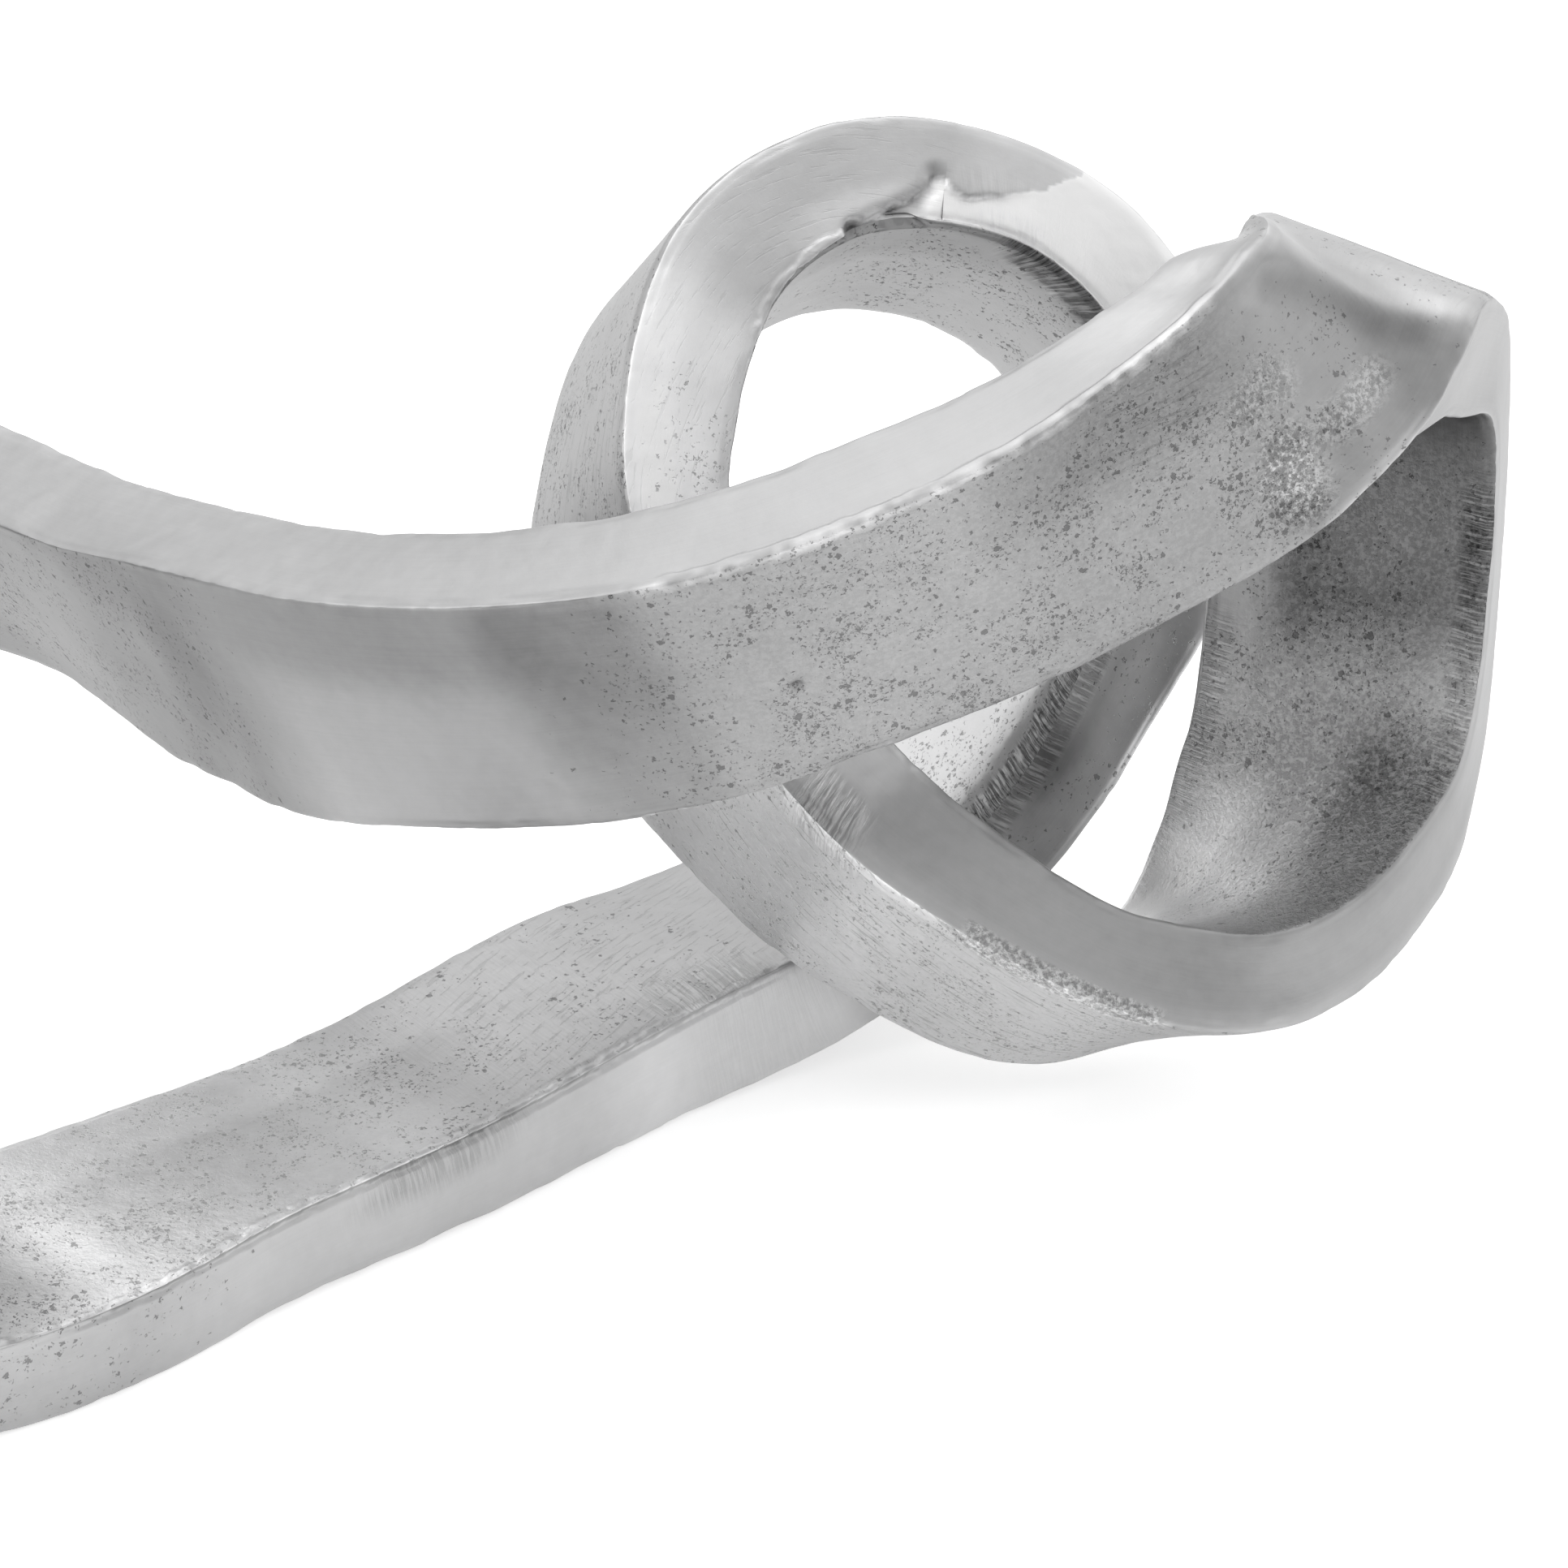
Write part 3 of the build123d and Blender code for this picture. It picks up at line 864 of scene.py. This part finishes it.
# rough sandy skin
GRITTY = (
    Line(((108.6, -23.4, 95.7), (109.0, -23.6, 93.0), (110.3, -23.2, 90.6)), 5.5, 1.0),
    Line(((103.7, -25.1, 102.1), (105.6, -23.4, 104.5), (107.0, -22.8, 104.0)), 4.5, 0.5),
    Line(((118.4, -16.8, 102.2), (116.1, -18.8, 99.6), (113.6, -20.4, 98.2)), 3.8, 0.7),
    *strokes(
        Side.FACE, (17.6, 18.6, -1.2, -0.86, 0.9, 0.1), (6.1, 8.3, *WHOLE, 0.12, 0.3),
        (17.5, 20.4, *WHOLE, 0.10, 0.4),
    ),
    *strokes(
        Side.BACK, (12.6, 15.5, -1.2, 0.6, 0.18, 0.4), (14.2, 17.2, *WHOLE, 0.22, 0.4),
        (33.0, 35.3, *WHOLE, 0.08, 0.4),
    ),
    *strokes(Side.LOW_EDGE, (17.6, 18.6, 0.70, 1.2, 0.9, 0.1)),
)
# edges rubbed bright
WORN = (
    *strokes(
        Side.FACE, (6.1, 8.3, 0.5, 1.3, 1.5, 0.1), (8.3, 9.9, -1.3, -0.5, 0.5, 0.1),
        (17.4, 19.4, -1.3, -0.8, 0.8, 0.1),
    ),
    *strokes(Side.BACK, (31.2, 35.4, -1.4, -0.7, 1.0, 0.1)),
    *strokes(Side.TOP_EDGE, (6.1, 8.3, 0.3, 1.4, 1.5, 0.1)),
    *strokes(Side.LOW_EDGE, (22.9, 24.2, -1.3, -0.8, 1.0, 0.1)),
)


class Nodes:
    """Short hand for laying out the shader nodes of a material, a world or a group."""

    ROW = 12

    def __init__(self, tree: Tree) -> None:
        """Takes the node tree to lay out."""
        self.tree = tree
        self.count = 0

    def add(self, kind: str, feeds: dict | None = None, **settings) -> bpy.types.Node:
        """Adds a node with plain settings, and feeds its inputs by name or number."""
        node = self.tree.nodes.new(kind)
        self.count += 1
        node.location = (self.count % self.ROW * 190, -(self.count // self.ROW) * 260)
        for name, value in settings.items():
            setattr(node, name, value)
        self.feed(node, feeds or {})
        return node

    def feed(self, node: bpy.types.Node, feeds: dict) -> None:
        """Links some of a node's inputs, or sets their plain values."""
        for name, value in feeds.items():
            if isinstance(value, Socket):
                self.tree.links.new(value, node.inputs[name])
            else:
                node.inputs[name].default_value = value

    def group(self, tree: Tree, **levels) -> bpy.types.bpy_prop_collection:
        """Outputs of a group node, with some of its inputs fed."""
        return self.add("ShaderNodeGroup", levels, node_tree=tree).outputs

    def math(self, operation: str, *values, clamp: bool = False) -> Socket:
        """A Math node's result."""
        feeds = dict(enumerate(values))
        return self.add("ShaderNodeMath", feeds, operation=operation, use_clamp=clamp).outputs[0]

    def blend(self, start, *parts: tuple) -> Socket:
        """A start value with (value, weight) pairs added to it in order."""
        for value, weight in parts:
            start = self.math("MULTIPLY_ADD", value, weight, start)
        return start

    def ramp(self, value, low: float, high: float, start: float = 0.0, end: float = 1.0) -> Socket:
        """A smooth rise from start to end while a value goes from low to high."""
        feeds = dict(enumerate((value, low, high, start, end)))
        return self.add("ShaderNodeMapRange", feeds, interpolation_type="SMOOTHSTEP").outputs[0]

    def noise(self, vector, scale: float, detail: float, rough: float = 0.5, output=0) -> Socket:
        """A noise texture's value, or its colour for output 1."""
        feeds = {"Vector": vector, "Scale": scale, "Detail": detail, "Roughness": rough}
        return self.add("ShaderNodeTexNoise", feeds).outputs[output]

    def attribute(self, name: str) -> Socket:
        """A point attribute's value."""
        return self.add("ShaderNodeAttribute", attribute_name=name).outputs["Fac"]

    def vector(self, x, y, z) -> Socket:
        """A vector from three values."""
        return self.add("ShaderNodeCombineXYZ", {0: x, 1: y, 2: z}).outputs[0]


def new_tree(owner: bpy.types.ID, output: str) -> tuple[Nodes, bpy.types.Node]:
    """An empty shader tree for a material or a world, and its output node."""
    owner.use_nodes = True
    owner.node_tree.nodes.clear()
    nodes = Nodes(owner.node_tree)
    return nodes, nodes.add(output)


def new_group(name: str, inputs: dict[str, float], outputs: tuple[str, ...]) -> tuple:
    """An empty shader node group of plain values.

    Args:
        name: The group's name.
        inputs: Names and default values of its inputs.
        outputs: Names of its outputs.

    Returns:
        The group, its Nodes, its inputs' sockets and its output node.
    """
    group = bpy.data.node_groups.new(name, "ShaderNodeTree")
    for label, value in inputs.items():
        socket = group.interface.new_socket(label, in_out="INPUT", socket_type="NodeSocketFloat")
        socket.default_value = value
    for label in outputs:
        group.interface.new_socket(label, in_out="OUTPUT", socket_type="NodeSocketFloat")
    nodes = Nodes(group)
    return group, nodes, nodes.add("NodeGroupInput").outputs, nodes.add("NodeGroupOutput")


# pits of each size: cells in a metre, chance in a crowded place, and reach in cells
PIT_SIZES = ((900, 0.30, 0.40), (1500, 0.75, 0.42), (2500, 1.0, 0.42))
PIT_FRAY = 0.0009


def pits_group() -> Tree:
    """Open pits of a sand casting: a mask and a height."""
    group, nodes, given, made = new_group("casting_pits", {"Amount": 0.5}, ("Mask", "Height"))
    place = nodes.add("ShaderNodeTexCoord").outputs["Object"]
    crowd = nodes.ramp(nodes.noise(place, 130, 3.0, 0.6), 0.36, 0.66)
    crowd = nodes.math("MULTIPLY", crowd, given["Amount"])
    fray = {0: nodes.noise(place, 2600, 1.0, output=1), 1: (PIT_FRAY,) * 3, 2: place}
    frayed = nodes.add("ShaderNodeVectorMath", fray, operation="MULTIPLY_ADD").outputs[0]
    masks = []
    for scale, chance, reach in PIT_SIZES:
        cells = nodes.add("ShaderNodeTexVoronoi", {"Vector": frayed, "Scale": scale}).outputs
        luck = nodes.add("ShaderNodeSeparateColor", {0: cells["Color"]}).outputs
        kept = nodes.math("LESS_THAN", luck[0], nodes.math("MULTIPLY", crowd, chance))
        radius = nodes.math("MULTIPLY_ADD", luck[1], reach * 0.7, reach * 0.45)
        near = nodes.math("SUBTRACT", radius, cells["Distance"])
        masks.append(nodes.math("MULTIPLY", nodes.ramp(near, 0.0, 0.12), kept))
    large, middle, small = masks
    mask = nodes.math("MAXIMUM", large, middle)
    mask = nodes.math("MAXIMUM", mask, nodes.math("MULTIPLY", small, 0.7))
    nodes.feed(made, {"Mask": mask, "Height": nodes.math("MULTIPLY", mask, -1.0)})
    return group


def brush_group() -> Tree:
    """Brush and file lines along or across the bar: a height around nought, and single scores."""
    levels = {"Along": 0.05, "Across": 3.0, "Slant": 0.0, "Lean": 0.0}
    group, nodes, given, made = new_group("brush_lines", levels, ("Height", "Scores"))
    run, side = nodes.attribute("run"), nodes.attribute("side")
    slid = nodes.math("MULTIPLY_ADD", side, given["Slant"], run)
    leant = nodes.math("MULTIPLY_ADD", run, given["Lean"], side)
    along = nodes.math("MULTIPLY", slid, given["Along"])
    across = nodes.math("MULTIPLY", leant, given["Across"])
    value = nodes.noise(nodes.vector(along, across, 0.0), 1.0, 4.0, 0.65)
    scores = nodes.ramp(value, 0.56, 0.63)
    nodes.feed(made, {"Height": nodes.math("SUBTRACT", value, 0.5), "Scores": scores})
    return group


def mottle_group() -> Tree:
    """Slow, fine and gritty cloudiness of bare cast metal: values around nought."""
    group, nodes, _, made = new_group("mottle", {}, ("Slow", "Fine", "Grit"))
    place = nodes.add("ShaderNodeTexCoord").outputs["Object"]
    values = {
        "Slow": nodes.noise(place, 55, 3.0, 0.55),
        "Fine": nodes.noise(place, 420, 4.0, 0.6),
        "Grit": nodes.ramp(nodes.noise(place, 1500, 3.0, 0.7), 0.36, 0.64),
    }
    for name, value in values.items():
        nodes.feed(made, {name: nodes.math("SUBTRACT", value, 0.5)})
    return group


@dataclass(frozen=True)
class CastFinish:
    """Bare cast aluminium, filed and brushed.

    Args:
        name: The material's name.
        tone: Plain grey of the metal, from 0 to 1.
        roughness: Plain roughness.
        brush: Height of the brush lines in millimetres.
    """

    name: str
    tone: float = 0.46
    roughness: float = 0.46
    brush: float = 0.010

    def material(self, groups: dict[str, Tree]) -> bpy.types.Material:
        """Builds the material from the shared groups and the painted attributes."""
        made = bpy.data.materials.new(self.name)
        nodes, output = new_tree(made, "ShaderNodeOutputMaterial")
        painted = nodes.attribute
        pits = nodes.group(groups["pits"], Amount=painted("pits"))
        lines = nodes.group(groups["brush"])["Height"]
        file_marks = nodes.group(groups["brush"], Along=2.3, Across=0.12, Slant=0.20)
        scratches = nodes.group(groups["brush"], Along=0.16, Across=1.7, Lean=0.25)
        mottle = nodes.group(groups["mottle"])
        # painted highlights, with some rubbed polish in places, raise the tone
        polish_and_highlight = painted("polish_and_highlight")
        grit = nodes.math("MULTIPLY", painted("grit"), mottle["Grit"])
        scores = nodes.math("MULTIPLY", scratches["Scores"], painted("scored"))
        lined = nodes.math("SUBTRACT", nodes.ramp(file_marks["Height"], -0.1, 0.1), 0.5)
        hatch = nodes.math("MULTIPLY", lined, painted("filed"))
        tone = nodes.blend(
            self.tone,
            (mottle["Slow"], 0.10),
            (mottle["Fine"], 0.10),
            (lines, 0.05),
            (grit, 0.40),
            (painted("worn"), 0.16),
            (polish_and_highlight, 0.42),
            # painted shade darkens the tone
            (painted("shade"), -0.22),
            (hatch, 0.26),
        )
        tone = nodes.math("MULTIPLY", tone, nodes.blend(1.0, (scores, -0.30)))
        tone = nodes.math("MULTIPLY", tone, nodes.blend(1.0, (pits["Mask"], -0.40)), clamp=True)
        rough = nodes.blend(self.roughness, (mottle["Fine"], 0.15), (polish_and_highlight, -0.03))
        height = nodes.blend(
            nodes.math("MULTIPLY", pits["Height"], 0.16),
            (lines, self.brush),
            (hatch, 0.10),
            (grit, 0.20),
            (scores, -0.06),
            (mottle["Fine"], 0.05),
        )
        bump = {"Strength": 1.0, "Distance": MM, "Height": height}
        metal = {
            "Metallic": 1.0,
            "Base Color": nodes.vector(tone, tone, nodes.math("MULTIPLY", tone, 1.005)),
            "Roughness": nodes.math("MULTIPLY_ADD", pits["Mask"], 0.15, rough, clamp=True),
            "Normal": nodes.add("ShaderNodeBump", bump).outputs[0],
        }
        nodes.feed(output, {0: nodes.add("ShaderNodeBsdfPrincipled", metal).outputs[0]})
        return made


@dataclass
class Sculpture:
    """The whole sculpture, cut into castings and welds, and dressed.

    Args:
        skin: The bar's skin.
        work: What is worked into its shape.
        paints: Marks for each attribute that the material reads.
        rubbed: Where the long edges are rubbed bright.
    """

    skin: BarSkin
    work: CastingWork
    paints: dict[str, tuple[Mark, ...]]
    rubbed: tuple[Mark, ...]

    @staticmethod
    def paint(points: SkinPoints, marks: tuple[Mark, ...]) -> np.ndarray:
        """Sum of marks at each point, from -1 to 3."""
        return np.clip(points.sum(marks), -1, 3)

    def build(self) -> list[Piece]:
        """Makes the fine skin, works it over and cuts it into its pieces."""
        rough = self.skin.build()
        mesh = rough.data
        log.info("coarse skin: %d faces", len(mesh.polygons))
        fine = rough.modifiers.new("fine", "SUBSURF")
        fine.levels = fine.render_levels = self.skin.levels - 0
        pick(rough)
        bpy.ops.object.modifier_apply(modifier=fine.name)
        points = SkinPoints(mesh)
        self.work.work(points)
        for name, marks in self.paints.items():
            write(mesh, name, self.paint(points, marks))
        edge = 1 - step_up(points.from_edge, 0.1, 1.1)
        rub = noise(points.points, 3.5, Seed.RUB) + noise(points.points, 1.1, Seed.FINE_RUB)
        rub = np.clip(0.9 + rub, 0, 2) * (0.35 + self.paint(points, self.rubbed))
        write(mesh, "worn", edge * rub)
        write(mesh, "run", points.run)
        thin_apart = 60
        write(mesh, "side", np.where(points.on_wide, points.across, points.outward + thin_apart))
        points.settle()
        for name in self.skin.NOTES:
            mesh.attributes.remove(mesh.attributes[name])
        log.info("fine skin: %d faces", len(mesh.polygons))
        with editing(rough):
            bpy.ops.mesh.separate(type="MATERIAL")
        return list(bpy.context.selected_objects)

    def dress(self, pieces: list[Piece]) -> None:
        """Names, closes and finishes each piece, and puts it in its CAD node's place."""
        groups = {"pits": pits_group(), "brush": brush_group(), "mottle": mottle_group()}
        cast = CastFinish("cast_aluminium").material(groups)
        bead = CastFinish("weld_aluminium").material(groups)
        for piece in pieces:
            node = piece.data.materials[0].name
            smooth_piece(piece)
            piece.name = piece.data.name = f"{node}_skin"
            piece.data.materials.clear()
            weld = node.endswith("_weld")
            piece.data.materials.append(bead if weld else cast)
            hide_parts(node)
            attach(piece, "root")
            log.info("%s: %d faces", piece.name, len(piece.data.polygons))
        rod = CastFinish("dowel_aluminium", tone=0.55).material(groups)
        for joint in JOINTS:
            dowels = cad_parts[f"{joint}_dowels"]
            for slot in dowels.material_slots:
                slot.material = rod


@dataclass
class Studio:
    """White floor and surroundings, soft lamps and the camera.

    Args:
        elevation: The camera's height above the level, in degrees.
        distance: From the camera to the middle of the photograph, in metres.
        aim: What is at the middle of the photograph, in metres.
        lens: Focal length in millimetres on a 36 mm sensor.
    """

    elevation: float = 25.0
    distance: float = 0.7
    aim: tuple[float, float, float] = (0.0513, 0.0105, 0.03845)
    lens: float = 130.43

    def camera(self) -> None:
        """The camera at the photograph's place."""
        data = bpy.data.cameras.new("camera")
        data.sensor_width = 36
        data.lens = self.lens
        data.clip_start, data.clip_end = 0.01, 20
        rise = math.radians(self.elevation)
        place = Vector(self.aim) - Vector((0, math.cos(rise), -math.sin(rise))) * self.distance
        turn = Matrix.Rotation(math.pi / 2 - rise, 4, "X")
        camera = bpy.data.objects.new("camera", data)
        camera.matrix_world = Matrix.Translation(place) @ turn
        bpy.context.scene.collection.objects.link(camera)
        bpy.context.scene.camera = camera

    def lamp(self, name: str, place: tuple, aim: tuple, size: float, power: float) -> None:
        """A soft square lamp at a place, turned to what it lights."""
        data = bpy.data.lights.new(name, "AREA")
        data.shape, data.size, data.energy = "SQUARE", size, power
        lamp = bpy.data.objects.new(name, data)
        turn = (Vector(aim) - Vector(place)).to_track_quat("-Z", "Y").to_matrix().to_4x4()
        lamp.matrix_world = Matrix.Translation(Vector(place)) @ turn
        bpy.context.scene.collection.objects.link(lamp)

    def light(self) -> None:
        """Soft lamps from above and behind, and a world that is brighter above than below."""
        self.lamp("soft_top", (-0.1, 0.35, 0.9), (0, 0, 0.04), 0.9, 2.0)
        self.lamp("soft_left", (-0.9, -0.3, 0.5), (0, 0, 0.05), 0.6, 1.6)
        world = bpy.data.worlds.new("studio")
        bpy.context.scene.world = world
        nodes, output = new_tree(world, "ShaderNodeOutputWorld")
        way = nodes.add("ShaderNodeTexCoord").outputs["Generated"]
        split = nodes.add("ShaderNodeSeparateXYZ", {0: way}).outputs
        high = nodes.ramp(split["Z"], -0.3, 0.9, 0.70, 1.05)
        behind = nodes.ramp(split["Y"], -1.0, 0.3, 0.72, 1.0)
        level = nodes.math("MULTIPLY", high, behind)
        path = nodes.add("ShaderNodeLightPath").outputs
        seen = nodes.math("MAXIMUM", path["Is Camera Ray"], path["Is Transmission Ray"])
        colours = {0: seen, 6: nodes.vector(level, level, level), 7: (1, 1, 1, 1)}
        bright = nodes.add("ShaderNodeMix", colours, data_type="RGBA").outputs[2]
        back = nodes.add("ShaderNodeBackground", {"Color": bright, "Strength": 1.0})
        nodes.feed(output, {0: back.outputs[0]})

    def floor(self) -> None:
        """A white floor that keeps the sculpture's shadow, and glows where it is looked at."""
        deselect()
        bpy.ops.mesh.primitive_plane_add(size=6.0, location=(0, 0, -0.0002))
        floor = bpy.context.object
        floor.name = "floor"
        paint = bpy.data.materials.new("white_floor")
        nodes, output = new_tree(paint, "ShaderNodeOutputMaterial")
        path = nodes.add("ShaderNodeLightPath").outputs
        seen = path["Is Camera Ray"]
        flat = nodes.add("ShaderNodeBsdfDiffuse", {"Color": (0.86, 0.86, 0.86, 1)}).outputs[0]
        glow = nodes.add("ShaderNodeEmission", {"Strength": nodes.blend(0.35, (seen, 0.2))})
        both = nodes.add("ShaderNodeAddShader", {0: flat, 1: glow.outputs[0]}).outputs[0]
        looked = nodes.math("MAXIMUM", seen, path["Is Glossy Ray"])
        choice = nodes.add("ShaderNodeMixShader", {0: looked, 1: flat, 2: both})
        nodes.feed(output, {0: choice.outputs[0]})
        floor.data.materials.append(paint)


def main() -> None:
    """Builds the sculpture and its studio in order."""
    studio = Studio()
    studio.camera()
    studio.light()
    studio.floor()
    bpy.context.scene.view_settings.view_transform = "Standard"
    # paints for the material, among them painted highlights and painted shade
    paints = {
        "pits": PITTED,
        "polish_and_highlight": POLISH_AND_HIGHLIGHTS,
        "shade": SHADED,
        "filed": FILED,
        "scored": SCORED,
        "grit": GRITTY,
    }
    work = CastingWork(hollows=HOLLOWS, swells=SWELLS, teeth=TEETH)
    sculpture = Sculpture(BarSkin(), work, paints, WORN)
    sculpture.dress(sculpture.build())


if __name__ == "__main__":
    main()
